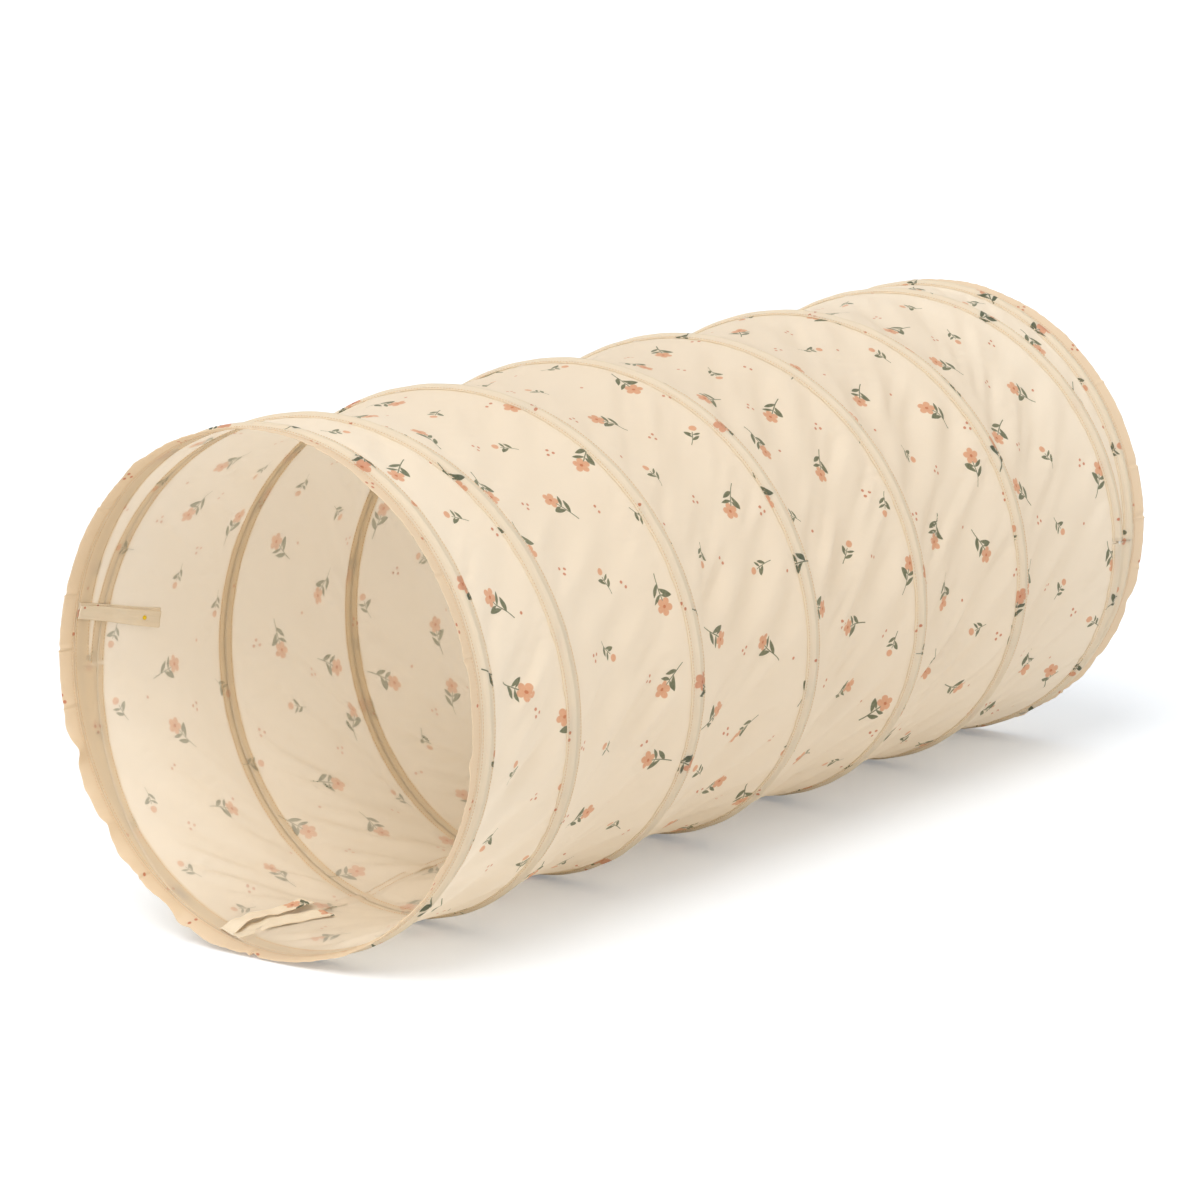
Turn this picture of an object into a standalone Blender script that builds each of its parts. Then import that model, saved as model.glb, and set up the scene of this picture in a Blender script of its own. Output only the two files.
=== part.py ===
"""Pop-up play tunnel: one spring-steel coil sewn to the outside of a cloth tube.

The tunnel lies along X with its near mouth at -X and its lowest casings on the floor, z = 0.
Angles run round the tube from its lowest line: 0 is the floor, a quarter turn is the +Y side.
The coil is right-handed: it leaves the near ring low on the +Y side and climbs that side first.
Every round piece shares the same flats, so that cloth, wire and tape stay parallel.
"""
import math

import bmesh
import bpy
from mathutils import Matrix, Vector

# Overall form
OUTER_DIAMETER = 0.480
OVERALL_LENGTH = 1.156
OPEN_TURNS = 6
FLATS_PER_TURN = 24
FLATS_TO_RING_EXIT = 3.5
DRAW_IN = 0.009

# Cloth, tape and wire
CLEARANCE = 0.0003
CLOTH_THICKNESS = 0.0008
TAPE_THICKNESS = 0.0008
TAPE_WIDTH = 0.0205
WIRE_DIAMETER = 0.003
CLOSE_WOUND_GAP = 0.0006
WIRE_OVERLAP_ANGLE = math.radians(41)

# Mouth hems
HEM_WIDTH = 0.016
HEM_THICKNESS = 0.0016
HEM_FLARE = 0.0026
RUFFLE_HEIGHT = 0.001
RUFFLES_PER_TURN = 5

# Wall strips and their lengthwise lap seam
STRIP_TIP_WIDTH = 0.005
SEAM_ANGLE = math.radians(10.4)
SEAM_WIDTH = 0.009

# Crimped ferrules that close the end rings
FERRULE_LENGTH = 0.016
FERRULE_THICKNESS = 0.0004
FERRULE_ANGLE = math.radians(30)
FERRULE_ARC_STEPS = 5

# Tie tapes and their pin
TIE_WIDTH = 0.018
TIE_LENGTH = 0.1105
TIE_THICKNESS = 0.0008
TIE_LAYER_GAP = 0.0008
TIE_ROWS = 10
TIE_STRIPS = 4
LEFT_TIE_ROOT_ANGLE = math.radians(101.2)
LEFT_TIE_TIP_ANGLE = math.radians(95.5)
LOWER_TIE_ROOT_ANGLE = math.radians(11.8)
LOWER_TIE_TIP_ANGLE = math.radians(6.0)
UPPER_TIE_ROOT_ANGLE = math.radians(13.4)
UPPER_TIE_TIP_ANGLE = math.radians(11.9)
PIN_SETBACK = 0.0217
PIN_HEAD_DIAMETER = 0.0042
PIN_SHANK_DIAMETER = 0.0009
PIN_HOLE_CLEARANCE = 0.0003
PIN_STEPS = 12
CUTTER_STEPS = 12
PIN_HEAD_ARC_STEPS = 6

# Shares of the pieces that carry them
CHANNEL_FOOT_SHARE = 1.0
CHANNEL_ROOF_SHARE = 0.4
PANEL_ROW_SHARES = (0.25, 0.5, 0.75)
LEAST_FLAT_SHARE = 0.3
FORK_STEP_SHARE = 0.05

# Worked-out sizes
FULL_TURN = 2 * math.pi
FLAT_ANGLE = FULL_TURN / FLATS_PER_TURN
OUTER_RADIUS = OUTER_DIAMETER / 2
WIRE_RADIUS = WIRE_DIAMETER / 2
TAPE_ROOF_IN = OUTER_RADIUS - TAPE_THICKNESS
WIRE_LINE = TAPE_ROOF_IN - CLEARANCE - WIRE_RADIUS
TAPE_FOOT_IN = WIRE_LINE - WIRE_RADIUS
WALL_OUTER = TAPE_FOOT_IN - CLEARANCE
WALL_INNER = WALL_OUTER - CLOTH_THICKNESS
LAP_DEPTH = CLOTH_THICKNESS + CLEARANCE
CLOSE_PITCH = WIRE_DIAMETER + CLOSE_WOUND_GAP
FERRULE_RISE = CLEARANCE + FERRULE_THICKNESS
HALF_TAPE = TAPE_WIDTH / 2
COIL_END = OVERALL_LENGTH / 2 - HEM_WIDTH - CLEARANCE - HALF_TAPE - CLOSE_PITCH / 2
COIL_START = -COIL_END
PLANE_STEP = (COIL_END - COIL_START) / OPEN_TURNS
EXIT_ANGLE = FLATS_TO_RING_EXIT * FLAT_ANGLE
RETURN_ANGLE = OPEN_TURNS * FULL_TURN - EXIT_ANGLE
PITCH = (COIL_END - COIL_START) * FULL_TURN / (RETURN_ANGLE - EXIT_ANGLE)
RING_MIDDLE = COIL_START - CLOSE_PITCH / 2
RING_OUTER_EDGE = RING_MIDDLE - HALF_TAPE
RING_INNER_EDGE = RING_MIDDLE + HALF_TAPE
FORK_ANGLE = EXIT_ANGLE + FULL_TURN * (TAPE_WIDTH + CLEARANCE - CLOSE_PITCH / 2) / PITCH
TIP_ANGLE = EXIT_ANGLE - FULL_TURN * (COIL_START - RING_OUTER_EDGE - STRIP_TIP_WIDTH) / PITCH
LAP_HALF_ANGLE = SEAM_WIDTH / 2 / WALL_OUTER
CUT_HALF_ANGLE = CLEARANCE / 2 / WALL_OUTER

CREAM = (0.83, 0.70, 0.52, 1)
CREAM_DOUBLE = (0.76, 0.61, 0.42, 1)
STEEL = (0.46, 0.46, 0.47, 1)
ALUMINIUM = (0.72, 0.72, 0.73, 1)
YELLOW = (0.85, 0.66, 0.05, 1)


def clear_scene():
    for item in list(bpy.data.objects):
        bpy.data.objects.remove(item, do_unlink=True)


def new_collection(name):
    group = bpy.data.collections.new(name)
    bpy.context.scene.collection.children.link(group)
    return group


def new_material(name, colour, roughness, metallic=0.0):
    material = bpy.data.materials.new(name)
    material.use_nodes = True
    shader = material.node_tree.nodes["Principled BSDF"]
    shader.inputs["Base Color"].default_value = colour
    shader.inputs["Roughness"].default_value = roughness
    shader.inputs["Metallic"].default_value = metallic
    material.diffuse_color = colour
    return material


def carrier(name, location, group):
    """An empty that the pieces of one moving group hang from."""
    empty = bpy.data.objects.new(name, None)
    empty.location = location
    group.objects.link(empty)
    return empty


def finish_mesh(mesh, shell):
    bmesh.ops.recalc_face_normals(shell, faces=shell.faces)
    shell.to_mesh(mesh)
    shell.free()
    mesh.shade_smooth()
    mesh.set_sharp_from_angle(angle=math.radians(35))


def add_piece(name, mesh, material, parent, group):
    piece = bpy.data.objects.new(name, mesh)
    mesh.materials.append(material)
    piece.parent = parent
    group.objects.link(piece)
    return piece


def loft(name, sections, material, parent, group, closed=False):
    """One closed body through outlines of the same number of points."""
    shell = bmesh.new()
    rings = [[shell.verts.new(point - parent.location) for point in section] for section in sections]
    pairs = list(zip(rings, rings[1:]))
    if closed:
        pairs.append((rings[-1], rings[0]))
    else:
        shell.faces.new(rings[0])
        shell.faces.new(rings[-1])
    for here, there in pairs:
        for index in range(len(here)):
            after = (index + 1) % len(here)
            shell.faces.new((here[index], here[after], there[after], there[index]))
    mesh = bpy.data.meshes.new(name)
    finish_mesh(mesh, shell)
    return add_piece(name, mesh, material, parent, group)


def flat_sided(radius, angle):
    """Distance from the axis to a flat-sided tube whose flats are radius away, one flat at angle 0."""
    offset = (angle + FLAT_ANGLE / 2) % FLAT_ANGLE - FLAT_ANGLE / 2
    return radius / math.cos(offset)


def place(x, radius, angle):
    reach = flat_sided(radius, angle)
    return Vector((x, reach * math.sin(angle), OUTER_RADIUS - reach * math.cos(angle)))


def corner_angles(start, end):
    """Both ends and each corner of the flat-sided tube that lies between them."""
    least = FLAT_ANGLE * FORK_STEP_SHARE / 4
    first = math.ceil((start + least) / FLAT_ANGLE - 0.5)
    last = math.floor((end - least) / FLAT_ANGLE - 0.5)
    return [start] + [(step + 0.5) * FLAT_ANGLE for step in range(first, last + 1)] + [end]


def turn_x(angle):
    """The open helix, continued past both ends, by its angle since the near ring's lowest point."""
    return COIL_START + PITCH * (angle - EXIT_ANGLE) / FULL_TURN


def wire_x(angle):
    """Place of the wire along the tunnel: close-wound before it leaves the near ring and in the far one."""
    if angle < EXIT_ANGLE:
        return COIL_START + CLOSE_PITCH * (angle - EXIT_ANGLE) / FULL_TURN
    if angle > RETURN_ANGLE:
        return COIL_END + CLOSE_PITCH * (angle - RETURN_ANGLE) / FULL_TURN
    return turn_x(angle)


def draw_in(x, start, end):
    """How far cloth held at start and end is drawn towards the axis at x."""
    if end <= start or not start < x < end:
        return 0.0
    share = (x - start) / (end - start)
    tautness = (end - start) / (PITCH - TAPE_WIDTH)
    return DRAW_IN * tautness * tautness * 4 * share * (1 - share)


def round_cutter(name, radius, length, pose, parent, cutters):
    shell = bmesh.new()
    bmesh.ops.create_cone(
        shell, cap_ends=True, segments=CUTTER_STEPS, radius1=radius, radius2=radius, depth=length
    )
    mesh = bpy.data.meshes.new(name)
    shell.to_mesh(mesh)
    shell.free()
    cutter = bpy.data.objects.new(name, mesh)
    cutter.parent = parent
    cutter.matrix_local = pose
    cutter.hide_render = True
    cutter.display_type = "WIRE"
    cutters.objects.link(cutter)
    return cutter


def cut(piece, cutter):
    hole = piece.modifiers.new("hole", "BOOLEAN")
    hole.operation = "DIFFERENCE"
    hole.object = cutter


def coil_wire(material, parent, group):
    """The whole spring: a close-wound ring at each mouth and the open turns between them."""
    start = EXIT_ANGLE - FULL_TURN - WIRE_OVERLAP_ANGLE
    end = RETURN_ANGLE + FULL_TURN + WIRE_OVERLAP_ANGLE
    points = [place(wire_x(angle), WIRE_LINE, angle) for angle in corner_angles(start, end)]
    curve = bpy.data.curves.new("coil_wire", "CURVE")
    curve.dimensions = "3D"
    curve.bevel_depth = WIRE_RADIUS
    curve.bevel_resolution = 1
    curve.use_fill_caps = True
    spline = curve.splines.new("POLY")
    spline.points.add(len(points) - 1)
    for spot, point in zip(spline.points, points):
        spot.co = (*(point - parent.location), 1)
    spline.use_smooth = True
    print(f"coil_wire least gap to itself: {least_wire_gap(points) * 1000:.2f} mm")
    return add_piece("coil_wire", curve, material, parent, group)


def least_wire_gap(points):
    """Least gap between stretches of the wire that lie over half a turn apart along it."""
    steps_per_flat = 4
    line = [a.lerp(b, step / steps_per_flat) for a, b in zip(points, points[1:]) for step in range(steps_per_flat)]
    apart = FLATS_PER_TURN * steps_per_flat // 2
    gaps = []
    for index, point in enumerate(line):
        for other in line[index + apart:]:
            if abs(other.x - point.x) < WIRE_DIAMETER * 2:
                gaps.append((other - point).length)
    return min(gaps) - WIRE_DIAMETER


def tape_section(angle, wires_from, wires_to, edge_from, edge_to, lift=0.0):
    """A tape sewn flat on both edges and arched over one wire, or over all between two wires."""
    foot_in = CHANNEL_FOOT_SHARE * WIRE_DIAMETER
    roof_in = CHANNEL_ROOF_SHARE * WIRE_DIAMETER
    foot_out = foot_in + TAPE_THICKNESS
    roof_out = roof_in + TAPE_THICKNESS / 2
    low = TAPE_FOOT_IN
    high = TAPE_ROOF_IN + lift
    outside = [
        (edge_from, low + TAPE_THICKNESS),
        (wires_from - foot_out, low + TAPE_THICKNESS),
        (wires_from - roof_out, high + TAPE_THICKNESS),
        (wires_to + roof_out, high + TAPE_THICKNESS),
        (wires_to + foot_out, low + TAPE_THICKNESS),
        (edge_to, low + TAPE_THICKNESS),
    ]
    inside = [
        (edge_to, low),
        (wires_to + foot_in, low),
        (wires_to + roof_in, high),
        (wires_from - roof_in, high),
        (wires_from - foot_in, low),
        (edge_from, low),
    ]
    return [place(x, radius, angle) for x, radius in outside + inside]


def casing_turn(number, material, parent, group):
    """One turn of the tape over the open helix, cut where the next begins at the lap seam."""
    start = (number - 1) * FULL_TURN + SEAM_ANGLE + CUT_HALF_ANGLE
    end = number * FULL_TURN + SEAM_ANGLE - CUT_HALF_ANGLE
    if number == 1:
        start = FORK_ANGLE + CUT_HALF_ANGLE
    if number == OPEN_TURNS:
        end = OPEN_TURNS * FULL_TURN - FORK_ANGLE - CUT_HALF_ANGLE
    sections = []
    for angle in corner_angles(start, end):
        x = turn_x(angle)
        sections.append(tape_section(angle, x, x, x - HALF_TAPE, x + HALF_TAPE))
    return loft(f"casing_turn_{number}", sections, material, parent, group)


def beside_ferrule(angle):
    """Whether a corner of the tube bounds the flat that carries the ferrule."""
    offset = (angle - FERRULE_ANGLE + math.pi) % FULL_TURN - math.pi
    return abs(offset) < FLAT_ANGLE * 0.75


def end_casing_sections():
    """The near mouth's tape: a ring that widens over the wire where the helix leaves it."""
    step_back = FORK_ANGLE - FLAT_ANGLE * FORK_STEP_SHARE
    angles = corner_angles(0.0, step_back)[1:] + corner_angles(FORK_ANGLE, FULL_TURN)[:-1]
    wires_from = wire_x(EXIT_ANGLE - FULL_TURN - WIRE_OVERLAP_ANGLE)
    sections = []
    for angle in angles:
        in_fork = angle < FORK_ANGLE
        wires_to = max(COIL_START, turn_x(angle)) if in_fork else COIL_START
        edge_to = max(RING_INNER_EDGE, wires_to + HALF_TAPE) if in_fork else RING_INNER_EDGE
        lift = FERRULE_RISE if beside_ferrule(angle) else 0.0
        sections.append(tape_section(angle, wires_from, wires_to, RING_OUTER_EDGE, edge_to, lift))
    return sections


def wire_exit_cutter(name, parent, cutters, far):
    """A round cutter on the stretch of wire that comes out from below a mouth's casing."""
    before = math.floor(FORK_ANGLE / FLAT_ANGLE - 0.5) + 0.5
    ends = [place(turn_x(step * FLAT_ANGLE), WIRE_LINE, step * FLAT_ANGLE) for step in (before, before + 1)]
    reach = ends[1] - ends[0]
    radius = WIRE_RADIUS + CLEARANCE
    pose = Matrix.Translation((ends[0] + ends[1]) / 2) @ reach.to_track_quat("Z", "Y").to_matrix().to_4x4()
    if far:
        pose = Matrix.Rotation(math.pi, 4, "Z") @ pose
    return round_cutter(name, radius, reach.length, Matrix.Translation(-parent.location) @ pose, parent, cutters)


def ruffle(angle):
    return RUFFLE_HEIGHT * math.sin(RUFFLES_PER_TURN * angle) * math.cos(angle / 2) ** 2


def hem_sections():
    """The near mouth's folded edge: a flange that flares a little and waves along its free edge."""
    inner_x = RING_OUTER_EDGE - CLEARANCE
    outer_x = -OVERALL_LENGTH / 2
    middle_x = (inner_x + outer_x) / 2
    sections = []
    for angle in corner_angles(0.0, FULL_TURN)[1:-1]:
        rise = HEM_FLARE + ruffle(angle)
        rows = [(outer_x, rise), (middle_x, rise / 3), (inner_x, 0.0)]
        outside = [place(x, WALL_INNER + HEM_THICKNESS + wave, angle) for x, wave in rows]
        inside = [place(x, WALL_INNER + wave, angle) for x, wave in reversed(rows)]
        sections.append(outside + inside)
    return sections


def turned_end_for_end(sections):
    """The far mouth repeats the near one, turned half a turn about the vertical."""
    half_turn = Matrix.Rotation(math.pi, 3, "Z")
    return [[half_turn @ point for point in section] for section in sections]


def panel_section(angle, x_from, x_to, held_from, held_to, dent_from, dent_to, lap):
    """Cloth between two turns at one angle: flat below the tapes and drawn in between them."""
    width = x_to - x_from
    row_from = min(held_from, x_from + width * LEAST_FLAT_SHARE)
    row_to = max(held_to, x_to - width * LEAST_FLAT_SHARE)
    middle = [row_from + (row_to - row_from) * share for share in PANEL_ROW_SHARES]
    rows = [(x_from, dent_from), (row_from, dent_from)]
    rows += [(x, draw_in(x, held_from, held_to)) for x in middle]
    rows += [(row_to, dent_to), (x_to, dent_to)]
    outside = [place(x, WALL_OUTER - depth - lap, angle) for x, depth in rows]
    inside = [place(x, WALL_INNER - depth - lap, angle) for x, depth in reversed(rows)]
    return outside + inside


def strip_edge(angle, split):
    """Edge that two strips share under the wire; before the first tip and past the last, a mouth's edge."""
    if angle < TIP_ANGLE:
        return RING_OUTER_EDGE
    if angle > OPEN_TURNS * FULL_TURN - TIP_ANGLE:
        return -RING_OUTER_EDGE
    return turn_x(angle) + split


def panel_limits(number, angle):
    """Edges of a panel at an angle since the near ring, and where the tapes stop holding it flat."""
    before = angle + (number - 2) * FULL_TURN
    after = before + FULL_TURN
    held_from = max(turn_x(before), COIL_START) + HALF_TAPE
    held_to = min(turn_x(after), COIL_END) - HALF_TAPE
    return strip_edge(before, CLEARANCE / 2), strip_edge(after, -CLEARANCE / 2), held_from, held_to


def panel_angles(number):
    """Angles of a strip's sections: the first strip starts at a tip, and the last one ends at a tip."""
    start = SEAM_ANGLE - LAP_HALF_ANGLE
    lap_from = start + FULL_TURN - CUT_HALF_ANGLE
    lap = [start + FULL_TURN, SEAM_ANGLE + LAP_HALF_ANGLE + FULL_TURN]
    far_tip = FULL_TURN - TIP_ANGLE
    if number == 1:
        return corner_angles(TIP_ANGLE + 2 * CUT_HALF_ANGLE, lap_from) + lap
    if number == 2:
        return corner_angles(start, TIP_ANGLE - CUT_HALF_ANGLE) + corner_angles(TIP_ANGLE, lap_from) + lap
    if number == OPEN_TURNS:
        return corner_angles(start, far_tip) + corner_angles(far_tip + CUT_HALF_ANGLE, lap_from) + lap
    if number == OPEN_TURNS + 1:
        return corner_angles(start, far_tip - 2 * CUT_HALF_ANGLE)
    return corner_angles(start, lap_from) + lap


def wall_panel(number, material, parent, group):
    """One strip of the wall, once round the tube; its last edge laps inside the next strip's first."""
    lap_from = SEAM_ANGLE - LAP_HALF_ANGLE + FULL_TURN - CUT_HALF_ANGLE
    sections = []
    for angle in panel_angles(number):
        lap = LAP_DEPTH if angle >= lap_from else 0.0
        limits = panel_limits(number, angle)
        dent_near = FERRULE_RISE if limits[0] == RING_OUTER_EDGE and beside_ferrule(angle) else 0.0
        dent_far = FERRULE_RISE if limits[1] == -RING_OUTER_EDGE and beside_ferrule(-angle) else 0.0
        sections.append(panel_section(angle, *limits, dent_near, dent_far, lap))
    return loft(f"wall_panel_{number}", sections, material, parent, group)


def rounded_slot(half_span, radius):
    """Outline of a slot with round ends, long way along X."""
    points = []
    for side in (1, -1):
        for step in range(FERRULE_ARC_STEPS + 1):
            turn = math.pi * (step / FERRULE_ARC_STEPS - 0.5)
            points.append((side * (half_span + radius * math.cos(turn)), side * radius * math.sin(turn)))
    return points


def ferrule(name, material, parent, group, far):
    """A flattened sleeve crimped round the wire's end and the turn that it lies beside."""
    outline = bpy.data.curves.new(name, "CURVE")
    outline.dimensions = "2D"
    outline.fill_mode = "BOTH"
    outline.extrude = FERRULE_LENGTH / 2
    bore = WIRE_RADIUS + CLEARANCE
    for radius in (bore, bore + FERRULE_THICKNESS):
        spline = outline.splines.new("POLY")
        corners = rounded_slot(CLOSE_PITCH / 2, radius)
        spline.points.add(len(corners) - 1)
        for spot, (across, up) in zip(spline.points, corners):
            spot.co = (across, up, 0, 1)
        spline.use_cyclic_u = True
    middle_x = wire_x(FERRULE_ANGLE) - CLOSE_PITCH / 2
    spot = place(middle_x, WIRE_LINE, FERRULE_ANGLE)
    along_x = Vector((1, 0, 0))
    outward = Vector((0, math.sin(FERRULE_ANGLE), -math.cos(FERRULE_ANGLE)))
    turn = Matrix((along_x, outward, along_x.cross(outward))).transposed().to_4x4()
    pose = Matrix.Translation(spot) @ turn
    if far:
        pose = Matrix.Rotation(math.pi, 4, "Z") @ pose
    sleeve = add_piece(name, outline, material, parent, group)
    sleeve.matrix_local = Matrix.Translation(-parent.location) @ pose
    return sleeve


def deepest_cloth(x, angle):
    """How far the innermost strip of the wall is drawn in at a place, at an angle under one turn."""
    depths = [0.0]
    for since_ring in (angle, angle + FULL_TURN):
        if not SEAM_ANGLE - LAP_HALF_ANGLE <= since_ring <= SEAM_ANGLE + LAP_HALF_ANGLE + FULL_TURN:
            continue
        for number in range(1, OPEN_TURNS + 2):
            held_from, held_to = panel_limits(number, since_ring)[2:]
            depths.append(draw_in(x, held_from, held_to))
    return max(depths)


def tie_base(x, angle, layer):
    """Radius of the side of a tie that faces the wall, clear of the cloth and of the lap seam."""
    half = TIE_WIDTH / 2 / WALL_INNER
    depth = max(deepest_cloth(x, angle + side) for side in (-half, 0.0, half))
    beside_seam = abs(angle - SEAM_ANGLE) < 2 * half
    wall = WALL_INNER - depth - (LAP_DEPTH if beside_seam else 0.0)
    return wall - CLEARANCE - layer * (TIE_THICKNESS + TIE_LAYER_GAP)


def tie_points(root_angle, tip_angle):
    """Middle line of a tie, from its root at the hem's seam to its free end."""
    for row in range(TIE_ROWS + 1):
        share = row / TIE_ROWS
        yield RING_OUTER_EDGE + TIE_LENGTH * share, root_angle + (tip_angle - root_angle) * share


def tie(name, root_angle, tip_angle, layer, material, parent, group):
    sections = []
    for x, angle in tie_points(root_angle, tip_angle):
        width = TIE_WIDTH / WALL_INNER
        across = [angle + width * (strip / TIE_STRIPS - 0.5) for strip in range(TIE_STRIPS + 1)]
        base = tie_base(x, angle, layer)
        outside = [place(x, base, side) for side in across]
        inside = [place(x, base - TIE_THICKNESS, side) for side in reversed(across)]
        sections.append(outside + inside)
    return loft(name, sections, material, parent, group)


def pin_spot():
    """Where the pin goes through the left ties: its angle and place along the tunnel."""
    share = 1 - PIN_SETBACK / TIE_LENGTH
    angle = LEFT_TIE_ROOT_ANGLE + (LEFT_TIE_TIP_ANGLE - LEFT_TIE_ROOT_ANGLE) * share
    return RING_OUTER_EDGE + TIE_LENGTH * share, angle


def pin_pose(parent):
    """Frame of the pin: its Z axis runs from the wall towards the tunnel's middle."""
    x, angle = pin_spot()
    root = place(x, tie_base(x, angle, 0) + CLEARANCE / 2, angle)
    inward = Vector((0, -math.sin(angle), math.cos(angle)))
    along_x = Vector((1, 0, 0))
    turn = Matrix((along_x, inward.cross(along_x), inward)).transposed().to_4x4()
    return Matrix.Translation(root - parent.location) @ turn


def tie_pin(material, parent, group):
    """A pin with a ball head, turned in one piece."""
    head_radius = PIN_HEAD_DIAMETER / 2
    shank_radius = PIN_SHANK_DIAMETER / 2
    seat = CLEARANCE / 2 + TIE_THICKNESS + TIE_LAYER_GAP + TIE_THICKNESS + CLEARANCE
    centre = seat + math.sqrt(head_radius ** 2 - shank_radius ** 2)
    low = math.asin(shank_radius / head_radius)
    profile = []
    for step in range(PIN_HEAD_ARC_STEPS + 1):
        turn = math.pi - (math.pi - low) * step / PIN_HEAD_ARC_STEPS
        profile.append((head_radius * math.sin(turn), centre - head_radius * math.cos(turn)))
    profile[0] = (0.0, profile[0][1])
    profile += [(shank_radius, 0.0), (0.0, 0.0)]
    mesh = bpy.data.meshes.new("tie_pin")
    edges = [(index, index + 1) for index in range(len(profile) - 1)]
    mesh.from_pydata([(radius, 0.0, height) for radius, height in profile], edges, [])
    pin = add_piece("tie_pin", mesh, material, parent, group)
    pin.matrix_local = pin_pose(parent)
    turned = pin.modifiers.new("turned", "SCREW")
    turned.axis = "Z"
    turned.steps = PIN_STEPS
    turned.render_steps = PIN_STEPS
    turned.use_merge_vertices = True
    turned.merge_threshold = PIN_SHANK_DIAMETER / 50
    turned.use_smooth_shade = True
    return pin


def pin_hole_cutter(parent, cutters):
    """A round cutter on the pin's axis, through both left ties."""
    reach = 2 * (TIE_THICKNESS + TIE_LAYER_GAP) + TIE_THICKNESS
    radius = PIN_SHANK_DIAMETER / 2 + PIN_HOLE_CLEARANCE
    return round_cutter("pin_hole_cutter", radius, 2 * reach, pin_pose(parent), parent, cutters)


def build():
    clear_scene()
    group = new_collection("play_tunnel")
    cutters = new_collection("cutters")
    cloth = new_material("cream_cloth", CREAM, 0.55)
    tape = new_material("casing_tape", CREAM_DOUBLE, 0.6)
    steel = new_material("spring_steel", STEEL, 0.35, 1.0)
    crimp = new_material("crimped_aluminium", ALUMINIUM, 0.4, 1.0)
    yellow = new_material("pin_yellow", YELLOW, 0.3)

    near = carrier("near_end_plane", Vector((COIL_START, 0, OUTER_RADIUS)), group)
    coil_wire(steel, near, group)
    ferrule("near_ferrule", crimp, near, group, far=False)
    near_casing = loft("near_end_casing", end_casing_sections(), tape, near, group, closed=True)
    cut(near_casing, wire_exit_cutter("near_exit_cutter", near, cutters, far=False))
    loft("near_hem", hem_sections(), cloth, near, group, closed=True)
    wall_panel(1, cloth, near, group)
    for number in range(1, OPEN_TURNS):
        plane = carrier(f"turn_{number}_plane", Vector((COIL_START + number * PLANE_STEP, 0, OUTER_RADIUS)), group)
        casing_turn(number, tape, plane, group)
        wall_panel(number + 1, cloth, plane, group)
    far = carrier("far_end_plane", Vector((COIL_END, 0, OUTER_RADIUS)), group)
    casing_turn(OPEN_TURNS, tape, far, group)
    wall_panel(OPEN_TURNS + 1, cloth, far, group)
    ferrule("far_ferrule", crimp, far, group, far=True)
    far_casing = loft("far_end_casing", turned_end_for_end(end_casing_sections()), tape, far, group, closed=True)
    cut(far_casing, wire_exit_cutter("far_exit_cutter", far, cutters, far=True))
    loft("far_hem", turned_end_for_end(hem_sections()), cloth, far, group, closed=True)

    hole = pin_hole_cutter(near, cutters)
    for layer, name in enumerate(("left_tie_back", "left_tie_front")):
        cut(tie(name, LEFT_TIE_ROOT_ANGLE, LEFT_TIE_TIP_ANGLE, layer, tape, near, group), hole)
    tie_pin(yellow, near, group)
    for layer, (name, root_angle, tip_angle) in enumerate((
        ("bottom_tie_lower", LOWER_TIE_ROOT_ANGLE, LOWER_TIE_TIP_ANGLE),
        ("bottom_tie_upper", UPPER_TIE_ROOT_ANGLE, UPPER_TIE_TIP_ANGLE),
    )):
        root = place(RING_OUTER_EDGE, tie_base(RING_OUTER_EDGE, root_angle, layer), root_angle)
        hinge = carrier(f"{name}_root", root, group)
        tie(name, root_angle, tip_angle, layer, tape, hinge, group)


build()
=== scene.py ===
"""Looks for the pop-up play tunnel: cream printed cloth sewn to one spring-steel coil.

The tunnel lies along X, near mouth at -X, floor at z = 0. Angles run round it from its lowest
line, and a quarter turn is the +Y side. Cloth places are in metres along the tunnel and round it.
"""
import math

import bpy
import numpy as np
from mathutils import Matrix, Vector


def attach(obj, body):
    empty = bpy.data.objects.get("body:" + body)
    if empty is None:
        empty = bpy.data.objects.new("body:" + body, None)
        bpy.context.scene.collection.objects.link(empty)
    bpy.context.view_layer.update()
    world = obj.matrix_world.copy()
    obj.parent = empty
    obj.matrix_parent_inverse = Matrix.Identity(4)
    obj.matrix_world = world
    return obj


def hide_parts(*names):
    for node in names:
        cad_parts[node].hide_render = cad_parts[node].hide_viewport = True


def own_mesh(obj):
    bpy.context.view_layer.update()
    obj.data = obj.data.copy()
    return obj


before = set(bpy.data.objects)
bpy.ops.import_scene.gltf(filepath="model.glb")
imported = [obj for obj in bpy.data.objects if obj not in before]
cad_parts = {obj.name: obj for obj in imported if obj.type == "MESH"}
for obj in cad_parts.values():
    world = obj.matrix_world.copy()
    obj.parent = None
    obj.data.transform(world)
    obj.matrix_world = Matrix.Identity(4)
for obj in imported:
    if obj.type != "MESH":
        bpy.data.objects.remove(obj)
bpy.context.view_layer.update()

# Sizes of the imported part, in metres and radians
FULL = 2 * math.pi
ROUND = math.radians(90)  # lean of waves that repeat round the tube
RADIUS = 0.240  # of the whole tube, and the height of its axis
TURNS = 6
EXIT = math.radians(52.5)  # where the open helix leaves the near mouth's ring
COIL_END = 0.54965
COIL_START = -COIL_END
PITCH = 2 * COIL_END / (TURNS - 2 * EXIT / FULL)
RING_MIDDLE = -0.55145  # of the near mouth's casing
TAPE = 0.0205
HALF_TAPE = TAPE / 2
RING_OUT = RING_MIDDLE - HALF_TAPE
RING_IN = RING_MIDDLE + HALF_TAPE

# Distances from the axis: the wall's outer face, a tape's foot, its top over the wire, the wire
WALL = 0.2353
FOOT = 0.2365
BULGE = 0.2398
WIRE_LINE = 0.2374

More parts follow.
